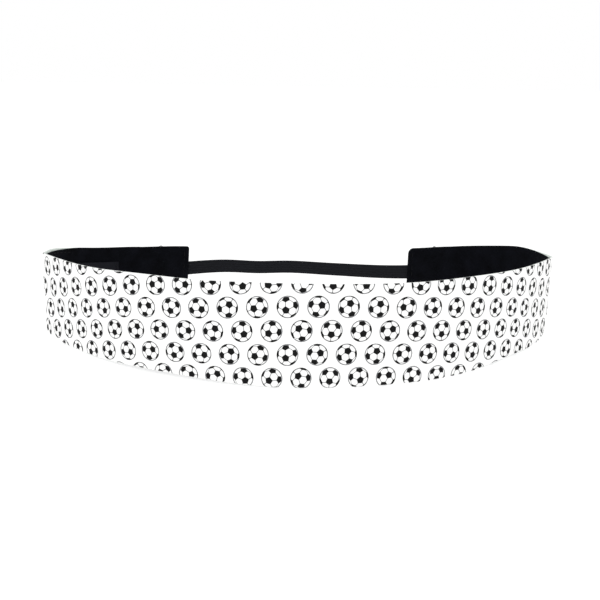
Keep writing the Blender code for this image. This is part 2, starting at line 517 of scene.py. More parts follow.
def grid_cells(mesh: Mesh, columns: int, rows: int) -> tuple[Array, Array]:
    """Fill an empty mesh with a grid, and find each vertex's column and row."""
    bmesh.ops.create_grid(mesh, x_segments=columns - 1, y_segments=rows - 1, size=0.5)
    mesh.verts.ensure_lookup_table()
    flat = np.array([vert.co[:2] for vert in mesh.verts]) + 0.5
    return np.rint(flat[:, 0] * (columns - 1)).astype(int), np.rint(flat[:, 1] * (rows - 1)).astype(int)


def lay(mesh: Mesh, places: Array, cloth: Array) -> None:
    """Move a mesh's vertices to their places, and write their places on the flat cloth as UVs."""
    for vert, place in zip(mesh.verts, places, strict=True):
        vert.co = place
    layer = mesh.loops.layers.uv.new("cloth")
    for face in mesh.faces:
        for loop in face.loops:
            loop[layer].uv = cloth[loop.vert.index]


def finish_piece(name: str, mesh: Mesh, material: Material) -> Piece:
    """Turn a bmesh into a smooth piece in the scene, with its material."""
    data = bpy.data.meshes.new(name)
    mesh.to_mesh(data)
    mesh.free()
    data.shade_smooth()
    data.materials.append(material)
    piece = bpy.data.objects.new(name, data)
    bpy.context.scene.collection.objects.link(piece)
    return piece


def thicken(piece: Piece, thickness: float) -> None:
    """Give a sheet its thickness behind its face, and keep the result as its mesh."""
    wall = piece.modifiers.new("thickness", "SOLIDIFY")
    wall.thickness = thickness
    wall.offset = -1.0
    evaluated = piece.evaluated_get(bpy.context.evaluated_depsgraph_get())
    finished = bpy.data.meshes.new_from_object(evaluated)
    piece.modifiers.clear()
    piece.data = finished
    finished.set_sharp_from_angle(angle=math.radians(50.0))


# ---------------------------------------------------------------- materials


def linear(colour: str) -> tuple[float, float, float, float]:
    """Turn an sRGB hex colour such as "1a1b20" to linear RGBA."""
    channels = [int(colour[i : i + 2], 16) / 255.0 for i in (0, 2, 4)]
    red, green, blue = [c / 12.92 if c <= 0.04045 else ((c + 0.055) / 1.055) ** 2.4 for c in channels]
    return red, green, blue, 1.0


class Surface:
    """A material in the making: a Principled shader, and the nodes that feed it."""

    def __init__(self, name: str, constants: Mapping[str, object]) -> None:
        """Start the material, with constant values on its shader's own sockets."""
        self.material = bpy.data.materials.new(name)
        self.material.use_nodes = True
        self.shader = self.material.node_tree.nodes["Principled BSDF"]
        for key, value in constants.items():
            self.shader.inputs[key].default_value = value

    def add(
        self,
        kind: str,
        inputs: Mapping[str | int, object] | tuple[object, ...] = (),
        output: int | str = 0,
        **settings: object,
    ) -> Socket:
        """Add a node with its settings, values and links.

        Args:
            kind: the node's type without its prefix, such as "Math".
            inputs: a value, or the socket to link, for each input: in order, or by name or number.
            output: the output to return, by number or name.
            settings: the node's own properties.

        Returns:
            The node's output.
        """
        node = self.material.node_tree.nodes.new(f"ShaderNode{kind}")
        for key, value in settings.items():
            setattr(node, key, value)
        for key, value in inputs.items() if isinstance(inputs, Mapping) else enumerate(inputs):
            if isinstance(value, Socket):
                self.material.node_tree.links.new(value, node.inputs[key])
            else:
                node.inputs[key].default_value = value
        return node.outputs[output]

    def flat(self) -> Socket:
        """Position on the flat cloth in millimetres, which the weave, ribs and print follow."""
        place = self.add("UVMap", uv_map="cloth")
        return self.add("VectorMath", (place, (1.0 / MM,) * 3), operation="MULTIPLY")

    def tone(self, colour: Socket | str, pattern: Socket, *span: float) -> Socket:
        """Make a colour lighter and darker by a pattern.

        Args:
            colour: the colour, as a socket or in hex.
            pattern: the pattern that tones it.
            span: the pattern's lowest and highest value, and what the colour is scaled by at each.

        Returns:
            The toned colour.
        """
        base = linear(colour)[:3] if isinstance(colour, str) else colour
        scale = self.add("MapRange", (pattern, *span))
        return self.add("VectorMath", {0: base, "Scale": scale}, operation="SCALE")

    def dress(self, colour: Socket, height: Socket | None = None, depth: float = 0.0) -> Material:
        """Colour the shader, and emboss a height pattern from 0 to 1 to a depth in millimetres.

        Args:
            colour: the surface's colour.
            height: the pattern that stands up from it, if it has one.
            depth: how far the pattern stands up, in millimetres.

        Returns:
            The finished material.
        """
        links = self.material.node_tree.links
        links.new(colour, self.shader.inputs["Base Color"])
        if height is not None:
            bump = self.add("Bump", {"Strength": 1.0, "Distance": depth * MM, "Height": height})
            links.new(bump, self.shader.inputs["Normal"])
        return self.material


@dataclass(frozen=True)
class BallPrint:
    """The print: footballs of 32 panels in staggered rows, each turned its own way. Millimetres."""

    radius: float = 3.9
    pitch: float = 10.6
    row_pitch: float = 8.72
    taller: float = 1.035
    stagger: float = -4.9
    start_along: float = -6.55
    start_up: float = -0.62
    turn_seed: float = 7.0
    panel_tilt: float = math.radians(52.7)
    pentagon_distance: float = 0.9393
    hexagon_distance: float = 0.9149
    seam: float = 0.036
    rim: float = 0.095
    swelling: float = 0.020
    ink_edge: float = 0.01

    def cell(self, surface: Surface, flat: Socket) -> tuple[Socket, ...]:
        """Find the ball that each point may lie on.

        Args:
            surface: the material being built.
            flat: position on the cloth in millimetres.

        Returns:
            Across and up from the ball's centre in ball radii, and the ball's column and row parity.
        """
        add = surface.add
        along, height = add("SeparateXYZ", (flat,)).node.outputs[:2]
        above = add("Math", (height, self.start_up), operation="SUBTRACT")
        rows = add("Math", (above, self.row_pitch), operation="DIVIDE")
        row = add("Math", (rows,), operation="FLOOR")
        odd = add("Math", (row, 2.0), operation="FLOORED_MODULO")
        shift = add("Math", (odd, self.stagger), operation="MULTIPLY")
        moved = add("Math", (along, shift), operation="SUBTRACT")
        past = add("Math", (moved, self.start_along), operation="SUBTRACT")
        columns = add("Math", (past, self.pitch), operation="DIVIDE")
        column = add("Math", (columns,), operation="FLOOR")
        scales = (self.pitch / self.radius, self.row_pitch / (self.radius * self.taller))
        place = []
        for count, whole, scale in zip((columns, rows), (column, row), scales, strict=True):
            part = add("Math", (count, whole), operation="SUBTRACT")
            centred = add("Math", (part, 0.5), operation="SUBTRACT")
            place.append(add("Math", (centred, scale), operation="MULTIPLY"))
        return *place, column, odd

    def build(self, surface: Surface, flat: Socket) -> tuple[Socket, Socket]:
        """Draw the balls.

        Args:
            surface: the material being built.
            flat: position on the cloth in millimetres.

        Returns:
            The share of black ink, and the share of thin grey line, at each point.
        """
        add = surface.add
        across, up, column, odd = self.cell(surface, flat)
        squares = tuple(add("Math", (part, part), operation="MULTIPLY") for part in (across, up))
        square = add("Math", squares, operation="ADD")
        reach = add("Math", (square,), operation="SQRT")
        below = add("Math", (add("Math", (1.0, square), operation="SUBTRACT"), 0.0), operation="MAXIMUM")
        rise = add("Math", (below,), operation="SQRT")
        on_ball = add("Math", (reach, 1.0), operation="LESS_THAN")

        number = add("CombineXYZ", (column, odd, self.turn_seed))
        chance = add("TexWhiteNoise", {"Vector": number}, output="Value", noise_dimensions="3D")
        spin = add("Math", (chance, math.tau), operation="MULTIPLY")
        ball = add("CombineXYZ", (across, up, rise))
        spun = add("VectorRotate", {"Vector": ball, "Angle": spin}, rotation_type="Z_AXIS")
        tilted = add("VectorRotate", {"Vector": spun, "Angle": self.panel_tilt}, rotation_type="Y_AXIS")
        folded = self.fold_panels(surface, tilted)

        cosine = math.cos(math.pi / 5.0)
        sine = math.sqrt(0.75 - cosine**2)
        five = Vector((sine, 0.0, 0.5)).normalized() / self.pentagon_distance
        three = Vector((0.0, sine, cosine)).normalized() / self.hexagon_distance
        to_panels = tuple(
            add("VectorMath", (folded, panel), output="Value", operation="DOT_PRODUCT")
            for panel in (five, three)
        )
        excess = add("Math", to_panels, operation="SUBTRACT")
        low, high = -self.swelling - self.ink_edge, self.ink_edge - self.swelling
        pentagon = add("MapRange", (excess, low, high, 0.0, 1.0), interpolation_type="SMOOTHSTEP")
        from_seam = add("Math", (add("SeparateXYZ", (folded,), output=1),), operation="ABSOLUTE")
        seam = add("MapRange", (from_seam, self.seam * 1.5, self.seam * 0.5, 0.0, 1.0))
        rim = add("MapRange", (reach, 1.0 - self.rim * 1.2, 1.0 - self.rim * 0.7, 0.0, 1.0))
        drawn = add("Math", (seam, rim), operation="MAXIMUM")
        ink, line = (add("Math", (share, on_ball), operation="MULTIPLY") for share in (pentagon, drawn))
        return ink, line

    def fold_panels(self, surface: Surface, ball: Socket) -> Socket:
        """Mirror a point of the ball into one corner shared by a pentagon and a hexagon."""
        add = surface.add
        cosine = math.cos(math.pi / 5.0)
        mirror = (-0.5, -cosine, math.sqrt(0.75 - cosine**2))
        for _ in range(5):
            x, y = add("SeparateXYZ", (add("VectorMath", (ball,), operation="ABSOLUTE"),)).node.outputs[:2]
            ball = add("CombineXYZ", (x, y, add("SeparateXYZ", (ball,), output=2)))
            side = add("VectorMath", (ball, mirror), output="Value", operation="DOT_PRODUCT")
            behind = add("Math", (side, 0.0), operation="MINIMUM")
            twice = add("Math", (behind, -2.0), operation="MULTIPLY")
            back = add("VectorMath", {0: mirror, "Scale": twice}, operation="SCALE")
            ball = add("VectorMath", (ball, back), operation="ADD")
        return ball


@dataclass(frozen=True)
class PrintedRibbon:
    """Plain-woven polyester ribbon, heat-transfer printed: matt white cloth, dense black ink."""

    white: str = "fbfbfa"
    # painted shade: the colour of the turned-in hems, a greyer green than the printed white
    margin: str = "dfe7e1"
    line: str = "7c7d80"
    ink: str = "020203"
    thread: float = 0.42        # thread spacing in millimetres, coarser than real so that it shows
    thread_depth: float = 0.05
    print_: BallPrint = field(default_factory=BallPrint)

    def build(self) -> Material:
        """Make the ribbon's material: plain on its turned-in margins, printed between them, and painted a
        greyer green on those margins as painted shade.
        """
        surface = Surface(
            "printed_polyester_ribbon", {"Roughness": 0.75, "IOR": 1.5, "Specular IOR Level": 0.2}
        )
        add, flat = surface.add, surface.flat()
        margin = add("Attribute", output="Fac", attribute_name="margin")
        printed = add("Math", (1.0, margin), operation="SUBTRACT")
        ink, line = self.print_.build(surface, flat)
        # painted shade: the turned-in hems take a greyer, greener white than the printed face
        ground = {0: margin, 6: linear(self.white), 7: linear(self.margin)}
        colour = add("Mix", ground, output=2, data_type="RGBA")
        for share, tint in ((line, self.line), (ink, self.ink)):
            laid = add("Math", (share, printed), operation="MULTIPLY")
            colour = add("Mix", {0: laid, 6: colour, 7: linear(tint)}, output=2, data_type="RGBA")
        weave = self.weave(surface, flat)
        # painted shade: the colour is up to 3.5% darker where the weave sinks between its threads
        return surface.dress(surface.tone(colour, weave, 0.0, 1.0, 0.965, 1.0), weave, self.thread_depth)

    def weave(self, surface: Surface, flat: Socket) -> Socket:
        """Draw a plain weave: warp and weft threads that pass over each other in turn, 0 to 1."""
        add = surface.add
        threads = []
        for distance in add("SeparateXYZ", (flat,)).node.outputs[:2]:
            phase = add("Math", (distance, math.pi / self.thread), operation="MULTIPLY")
            threads.append(add("Math", (phase,), operation="SINE"))
        crossing = add("Math", tuple(threads), operation="MULTIPLY")
        return add("Math", (crossing, 0.5, 0.5), operation="MULTIPLY_ADD")


@dataclass(frozen=True)
class Velvet:
    """Short-pile polyester velvet: drinks light face on, and glows softly at grazing angles."""

    pile: str = "08090e"
    sheen: str = "3a3c48"
    pile_depth: float = 0.12

    def build(self) -> Material:
        """Make the velvet's material, with nap that lies in slow patches over a fine pile."""
        constants = {
            "Roughness": 0.95,
            "IOR": 1.45,
            "Specular IOR Level": 0.10,
            "Sheen Weight": 0.20,
            "Sheen Roughness": 0.35,
            "Sheen Tint": linear(self.sheen),
        }
        surface = Surface("polyester_velvet", constants)
        add, flat = surface.add, surface.flat()
        nap = add("TexNoise", {"Vector": flat, "Scale": 0.16, "Detail": 3.0, "Roughness": 0.6})
        pile = add("TexNoise", {"Vector": flat, "Scale": 3.2, "Detail": 2.0})
        fine = add("Math", (pile, 0.4), operation="MULTIPLY")
        mixed = add("Math", (nap, 0.6, fine), operation="MULTIPLY_ADD")
        return surface.dress(surface.tone(self.pile, mixed, 0.35, 0.65, 0.45, 1.9), pile, self.pile_depth)


@dataclass(frozen=True)
class KnittedElastic:
    """Knitted elastic: polyester over rubber, matt, with crosswise loops between its ribs."""

    yarn: str = "101116"
    # painted highlight: the lighter colour put on the crests of the ribs and loops
    light: str = "1e2026"
    loop_pitch: float = 0.55
    rib_pitch: float = 1.2
    knit_depth: float = 0.10

    def build(self) -> Material:
        """Make the elastic's material."""
        constants = {"Roughness": 0.85, "IOR": 1.5, "Specular IOR Level": 0.2, "Sheen Weight": 0.03}
        surface = Surface("knitted_elastic", constants)
        add = surface.add
        along, up = add("SeparateXYZ", (surface.flat(),)).node.outputs[:2]
        loop_phase = add("Math", (along, math.tau / self.loop_pitch), operation="MULTIPLY")
        rib_phase = add("Math", (up, math.tau / self.rib_pitch), operation="MULTIPLY")
        loops = add("Math", (loop_phase,), operation="SINE")
        ribs = add("Math", (rib_phase,), operation="COSINE")
        knit = add("Math", (loops, ribs), operation="MULTIPLY")
        height = add("Math", (knit, 0.5, 0.5), operation="MULTIPLY_ADD")
        # painted highlight: the crests of the ribs and loops are coloured lighter than the yarn
        crown = add("MapRange", (ribs, -1.0, 1.0, 0.0, 1.0))
        highlight_on_crests = add("Math", (crown, height), operation="MULTIPLY")
        lit = {0: highlight_on_crests, 6: linear(self.yarn), 7: linear(self.light)}
        return surface.dress(add("Mix", lit, output=2, data_type="RGBA"), height, self.knit_depth)


@dataclass(frozen=True)
class SatinLabel:
    """Woven satin tape: smooth floats along its length, so it shines a little along them."""

    colour: str = "14151c"
    float_scale: Triple = (0.35, 6.0, 1.0)
    float_depth: float = 0.03

    def build(self) -> Material:
        """Make the label's material."""
        surface = Surface("woven_satin", {"Roughness": 0.5, "IOR": 1.5, "Specular IOR Level": 0.12})
        add = surface.add
        stretched = add("VectorMath", (surface.flat(), self.float_scale), operation="MULTIPLY")
        floats = add("TexNoise", {"Vector": stretched, "Scale": 1.0, "Detail": 2.0})
        colour = surface.tone(self.colour, floats, 0.3, 0.7, 0.8, 1.25)
        return surface.dress(colour, floats, self.float_depth)


@dataclass(frozen=True)
class SewingThread:
    """Spun polyester thread: two plies, whose twist shows as slanting turns along the stitch."""

    name: str = "black_polyester_thread"
    colour: str = "0c0c10"
    turns: float = 900.0        # of the twist, to a metre
    ply_depth: float = 0.03

    def build(self) -> Material:
        """Make the thread's material."""
        surface = Surface(self.name, {"Roughness": 0.7, "IOR": 1.5, "Specular IOR Level": 0.2})
        place = surface.add("TexCoord", output="Object")
        plies = {"Vector": place, "Scale": self.turns, "Distortion": 1.5}
        twist = surface.add("TexWave", plies, output="Fac", bands_direction="DIAGONAL")
        # painted shade: the colour is up to 18% darker in the twist's grooves between the plies
        return surface.dress(surface.tone(self.colour, twist, 0.0, 1.0, 0.82, 1.0), twist, self.ply_depth)


# ---------------------------------------------------------------- the band's pieces


class Stretch(Enum):
    """The stretches that the band's layers are cut into, so that each crosses one joint at most."""

    FRONT = "front"
    LEFT_WRAP = "left_wrap"
    RIGHT_WRAP = "right_wrap"
    LEFT_END = "left_end"
    RIGHT_END = "right_end"

    @property
    def side(self) -> Side:
        """The side of the band that the stretch is on; the front counts as right."""
        return Side.LEFT if self.value.startswith("left") else Side.RIGHT

    @property
    def part(self) -> str:
        """What the stretch is, without its side."""
        return self.value.split("_")[-1]

    @property
    def node_ending(self) -> str:
        """Ending of the names of the nodes that the stretch stands for."""
        side = self.side.word
        return {"front": "front", "wrap": f"{side}_tail", "end": f"{side}_tab"}[self.part]


@dataclass(frozen=True)
class Layout:
    """Where the layers are cut, and between which points each stretch bends."""

    route: Route
    wrap_start: float = 78.0 * MM
    end_start: float = 175.0 * MM
    wrap_bend: tuple[float, float] = (-12.6 * MM, 39.4 * MM)
    end_bend: tuple[float, float] = (82.0 * MM, 61.4 * MM)
    spacing: float = 0.75 * MM
    fine_spacing: float = 0.16 * MM
    fine_length: float = 2.8 * MM

    def limits(self, stretch: Stretch) -> tuple[float, float]:
        """Distances along the band where a stretch starts and ends, from left to right."""
        if stretch is Stretch.FRONT:
            return -self.wrap_start, self.wrap_start
        near = self.wrap_start if stretch.part == "wrap" else self.end_start
        far = self.end_start if stretch.part == "wrap" else self.route.end
        return (-far, -near) if stretch.side is Side.LEFT else (near, far)

    def columns(self, stretch: Stretch) -> Array:
        """Spread a stretch's columns, close together at an end of the band."""
        start, end = self.limits(stretch)
        if stretch.part != "end":
            return stations(start, end, self.spacing)
        edge = self.route.end - self.fine_length
        outer = stations(self.end_start, edge, self.spacing)[:-1]
        away = np.concatenate([outer, stations(edge, self.route.end, self.fine_spacing)])
        return away if stretch.side is Side.RIGHT else -away[::-1]

    def attach(self, piece: Piece, stretch: Stretch) -> None:
        """Attach a front piece to the front's body; for a wrap or an end, work out its bend points, which
        are not used, and bake the piece's transform into its mesh.
        """
        side = stretch.side
        if stretch is Stretch.FRONT:
            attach(piece, "front")
        elif stretch.part == "wrap":
            before, after = self.wrap_bend
            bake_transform(piece)
        else:
            before, after = (side.value * x for x in self.end_bend)
            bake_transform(piece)


@dataclass(frozen=True)
class PrintLay:
    """How the print lies on the band: its rows droop towards the folds, and run level behind them."""

    radius: float = 434.0 * MM
    tilt: float = -0.006
    sway: float = 0.45 * MM
    sway_reach: float = 100.0 * MM
    level_from: float = 112.0 * MM
    level_at: float = 168.0 * MM
    middle: float = 19.0 * MM
    turn_share: float = 0.5

    def cloth(self, along: Array, up: Array) -> Array:
        """Find the printed cloth's own coordinates of points along the band and up it."""
        away = np.abs(along)
        bent = np.minimum(away, self.level_from)
        past = np.clip(away - self.level_from, 0.0, self.level_at - self.level_from)
        reach = self.level_at - self.level_from
        steepest = self.level_from / self.radius
        slope = np.where(away < self.level_from, away / self.radius, steepest * (1.0 - past / reach))
        droop = bent**2 / (2.0 * self.radius) + steepest * (past - past**2 / (2.0 * reach))
        across = along - self.turn_share * (up - self.middle) * slope * np.sign(along)
        sway = self.sway * np.sin(np.pi * np.clip(along / self.sway_reach, -1.0, 1.0))
        return np.stack([across, up + droop - sway + self.tilt * along], axis=-1)


@dataclass(frozen=True)
class Layer:
    """One of the band's two layers of cloth, cut into stretches and hemmed along both edges."""

    name: str
    slot: str
    wall: Wall
    layout: Layout
    outward: bool
    thickness: float
    face_rows: int = 44
    margin_from: float = 0.7
    margin_over: float = 0.5
    print_lay: PrintLay = field(default_factory=PrintLay)

    def section(self) -> Section:
        """The layer's cross-section."""
        wall, rows = self.wall, self.face_rows
        if self.outward:
            return hemmed_section(2.0 * wall.hem_radius, wall.hem_radius, 0.0, wall.hem_depth, rows, True)
        sizes = wall.lining_back, wall.lining_radius, wall.lining_inset, wall.lining_hem
        return hemmed_section(*sizes, rows, False)

    def build(self, stretch: Stretch, material: Material) -> Piece:
        """Args:
            stretch: which stretch of the band.
            material: the layer's finish.

        Returns:
            The new piece.
        """
        section = self.section()
        along = self.layout.columns(stretch)
        mesh = bmesh.new()
        column, row = grid_cells(mesh, along.size, section.share.size)
        at, share = along[column], section.share[row]
        low, high = self.wall.route.edges(at)
        corner = self.wall.corner(at, share)
        if not self.outward:
            follow = self.wall.edge_follow * share - self.wall.low_edge_follow
            corner = corner + self.wall.tuck_out(at) * follow
        depth = self.wall.layer_depth(at, section, row, self.outward)
        places = self.wall.point(at, depth, share, section.shift[row] + corner)
        up = share * (high - low) + section.cloth[row] + corner
        cloth = self.print_lay.cloth(at, low + up) if self.outward else np.stack([at, up], axis=-1)
        lay(mesh, places, cloth)
        if self.outward:
            self.mark_margin(mesh, section, row)
        piece = finish_piece(f"{self.name}_cloth_{stretch.value}", mesh, material)
        thicken(piece, self.thickness)
        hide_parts(f"{self.name}_{stretch.node_ending}")
        self.declare(along, section)
        self.layout.attach(piece, stretch)
        LOG.info("%s: %d vertices", piece.name, len(piece.data.vertices))
        return piece

    def mark_margin(self, mesh: Mesh, section: Section, row: Array) -> None:
        """Mark the unprinted hem of the ribbon, from 0 on its face to 1 where it is turned in; the hem is
        also painted a greyer green there, as painted shade.
        """
        margin = mesh.verts.layers.float.new("margin")
        radius = self.wall.hem_radius
        turned = smooth((section.inward - self.margin_from * radius) / (self.margin_over * radius))
        for vert in mesh.verts:
            vert[margin] = turned[row[vert.index]]

    def declare(self, along: Array, section: Section) -> None:
        """Work out how large the stretch was cut: its height with both hems, and its length; the sizes are
        not kept or used.
        """
        wall = self.wall
        low, high = wall.route.edges(along)
        one, zero = np.ones_like(along), np.zeros_like(along)
        proud = wall.slackness.upward(along, one) - wall.slackness.upward(along, zero)
        height = high - low + proud * wall.loose(along) + section.cloth.max() - section.cloth.min()
        if not self.outward:
            height = height + wall.edge_follow * wall.tuck_out(along)
        length = float(np.ptp(along - wall.longer(along, 0.5)))


@dataclass(frozen=True)
class Stitches:
    """Runs of single stitches: each is a short, fat, tapering stretch of thread.

    `standing` is how far a stitch stands out of the pucker, in thread radii. The sizes that start
    with `loop` are those of the thread ends that stand up from the tails.
    """

    wall: Wall
    layout: Layout
    length: float = 2.25 * MM
    radius: float = 0.17 * MM
    standing: float = 0.7
    clearance: float = 0.3 * MM
    overrun: float = 0.2 * MM
    upright_half: float = 0.44
    loop_radius: float = 0.75 * MM
    loop_turn: float = math.radians(150.0)
    loop_steps: int = 12
    loop_drift: float = 0.02 * MM
    loop_thread: float = 0.8
    loop_depth: float = 1.5 * MM
    loop_level: float = -0.3 * MM

    @property
    def sewn_depth(self) -> float:
        """Depth in the wall of a stitch that is pulled into the lining's face."""
        return self.wall.lining_face - self.wall.lining_pucker + self.radius * self.standing

    def add_stitch(self, mesh: Mesh, at: Triple, half: Triple) -> None:
        """Add one stitch in flat coordinates: along, inward and up, with its half lengths on each."""
        place = Matrix.Translation(at) @ Matrix.Diagonal((*half, 1.0))
        turn = Matrix.Rotation(math.pi / 2, 4, "Y") if half[0] > half[2] else Matrix.Identity(4)
        bmesh.ops.create_uvsphere(mesh, u_segments=6, v_segments=6, radius=1.0, matrix=place @ turn)

    def bend(self, mesh: Mesh, share: float) -> None:
        """Lay flat stitches on the band, at heights from its edge or its middle, and give them UVs."""
        flat = np.array([vert.co for vert in mesh.verts])
        along, inward, up = flat[:, 0], flat[:, 1], flat[:, 2]
        mesh.verts.index_update()
        lay(mesh, self.wall.point(along, inward, np.full(along.shape, share), up), flat[:, [0, 2]])

    def row(self, stretch: Stretch, row: Row, material: Material) -> Piece:
        """Sew one row along a stretch. It catches the cover's turned-in hem, and shows inside only.

        Args:
            stretch: which stretch of the band.
            row: the lower or the upper row.
            material: the thread.

        Returns:
            The new piece.
        """
        wall = self.wall
        start, end = self.layout.limits(stretch)
        if stretch.part == "end":
            keep = wall.end_seam + self.clearance
            start, end = (start + keep, end) if stretch.side is Side.LEFT else (start, end - keep)
        up = wall.row_inset * (1.0 - 2.0 * row.value)
        mesh = bmesh.new()
        first = math.ceil(start / wall.stitch_pitch - 0.5)
        last = math.floor(end / wall.stitch_pitch - 0.5)
        for number in range(first, last + 1):
            middle = (number + 0.5) * wall.stitch_pitch
            if start < middle - self.length / 2 and middle + self.length / 2 < end + self.overrun:
                half = (self.length / 2, self.radius, self.radius)
                self.add_stitch(mesh, (middle, self.sewn_depth, up), half)
        self.bend(mesh, row.value)
        piece = finish_piece(f"stitches_{row.word}_{stretch.value}", mesh, material)
        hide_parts(f"topstitch_{row.word}_{stretch.node_ending}")
        self.layout.attach(piece, stretch)
        return piece

    def loose_end(self, side: Side, along: float, material: Material) -> None:
        """Leave the short end of thread that stands up from a tail's upper edge."""
        mesh = bmesh.new()
        start = Matrix.Translation((along - self.loop_radius, self.loop_depth, self.loop_level))
        radius = self.radius * self.loop_thread
        ring = bmesh.ops.create_circle(mesh, cap_ends=True, segments=8, radius=radius, matrix=start)
        bmesh.ops.spin(
            mesh,
            geom=[*ring["verts"], *mesh.edges, *mesh.faces],
            cent=(along, self.loop_depth, self.loop_level),
            axis=(0.0, 1.0, 0.0),
            dvec=(0.0, self.loop_drift, 0.0),
            angle=self.loop_turn,
            steps=self.loop_steps,
        )
        bmesh.ops.recalc_face_normals(mesh, faces=mesh.faces)
        self.bend(mesh, 1.0)
        piece = finish_piece(f"thread_end_{side.word}", mesh, material)
        self.layout.attach(piece, Stretch(f"{side.word}_end"))

    def upright(
        self, name: str, along: float, inward: float, reach: tuple[float, float], material: Material
    ) -> Piece:
        """Sew an upright row across the band.

        Args:
            name: the new piece's name.
            along: distance of the row along the band.
            inward: depth of the row in the wall.
            reach: heights of the row's ends from the band's middle.
            material: the thread.

        Returns:
            The new piece.
        """
        low, high = reach
        count = max(1, round((high - low) / self.wall.stitch_pitch))
        pitch = (high - low) / count
        mesh = bmesh.new()
        for number in range(count):
            middle = low + (number + 0.5) * pitch
            half = (self.radius, self.radius, pitch * self.upright_half)
            over_strap = self.wall.over_strap(np.array(along), np.array(0.5), np.array(middle))
            deep = inward + self.wall.strap_rise * float(over_strap)
            self.add_stitch(mesh, (along, deep, middle), half)
        self.bend(mesh, 0.5)
        piece = finish_piece(name, mesh, material)
        return piece


@dataclass(frozen=True)
class Label:
    """The blank satin label on the left of the lining, sewn down at its two ends."""

    wall: Wall
    layout: Layout
    fore: float = -150.9 * MM
    rear: float = -177.6 * MM
    height: float = 15.0 * MM
    thickness: float = 0.3 * MM
    seam_inset: float = 1.1 * MM
    level: float = 15.6 * MM
    skew: float = 0.075
    spacing: float = 0.5 * MM
    slack_reach: float = 5.0 * MM
    pressed: float = 0.10 * MM
    slack: float = 0.35 * MM
    ripple: float = 0.06 * MM
    ripple_length: float = 2.9 * MM
    seam_margin: float = 0.6 * MM
    seam_rise: float = 0.08 * MM

    def rise(self, along: Array) -> Array:
        """How far the label's middle lies above the wall's, for it was sewn on a little askew."""
        low, high = self.wall.route.edges(along)
        middle = (self.fore + self.rear) / 2
        return self.level - (low + high) / 2 + self.skew * (along - middle)

    def depth(self, along: Array, up: Array) -> Array:
        """Distance inward of the label's face: pressed down at its seams, slack between them."""
        from_seam = np.minimum(np.abs(along - self.fore), np.abs(along - self.rear))
        slack = smooth((from_seam - self.seam_inset) / self.slack_reach)
        top = smooth(up / self.height + 0.5)
        lift = self.pressed + self.slack * top * slack
        ripple = self.ripple * np.sin(along / self.ripple_length) * slack
        return self.wall.lining_face + self.thickness + lift + ripple

    def build(self, satin: Material, stitches: Stitches, thread: Material) -> None:
        """Make the label and its two seams, in place."""
        along = stations(self.rear, self.fore, self.spacing)
        heights = stations(self.height / 2, -self.height / 2, self.spacing)
        mesh = bmesh.new()
        column, row = grid_cells(mesh, along.size, heights.size)
        at, up = along[column], heights[row]
        places = self.wall.point(at, self.depth(at, up), np.full(at.shape, 0.5), up + self.rise(at))
        lay(mesh, places, np.stack([at, up], axis=-1))
        piece = finish_piece("label_tape", mesh, satin)
        thicken(piece, self.thickness)
        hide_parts("blank_label")
        self.layout.attach(piece, Stretch.LEFT_WRAP)
        for name, end, into in (("fore", self.fore, -1.0), ("rear", self.rear, 1.0)):
            near = end + into * self.seam_inset
            inward = float(self.depth(np.array(near), np.array(0.0))) + self.seam_rise
            lift = float(self.rise(np.array(near)))
            reach = (lift - self.height / 2 + self.seam_margin, lift + self.height / 2 - self.seam_margin)
            seam = stitches.upright(f"label_stitches_{name}", near, inward, reach, thread)
            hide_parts(f"label_seam_{name}")
            self.layout.attach(seam, Stretch.LEFT_WRAP)
        LOG.info("label: sewn down at both ends")


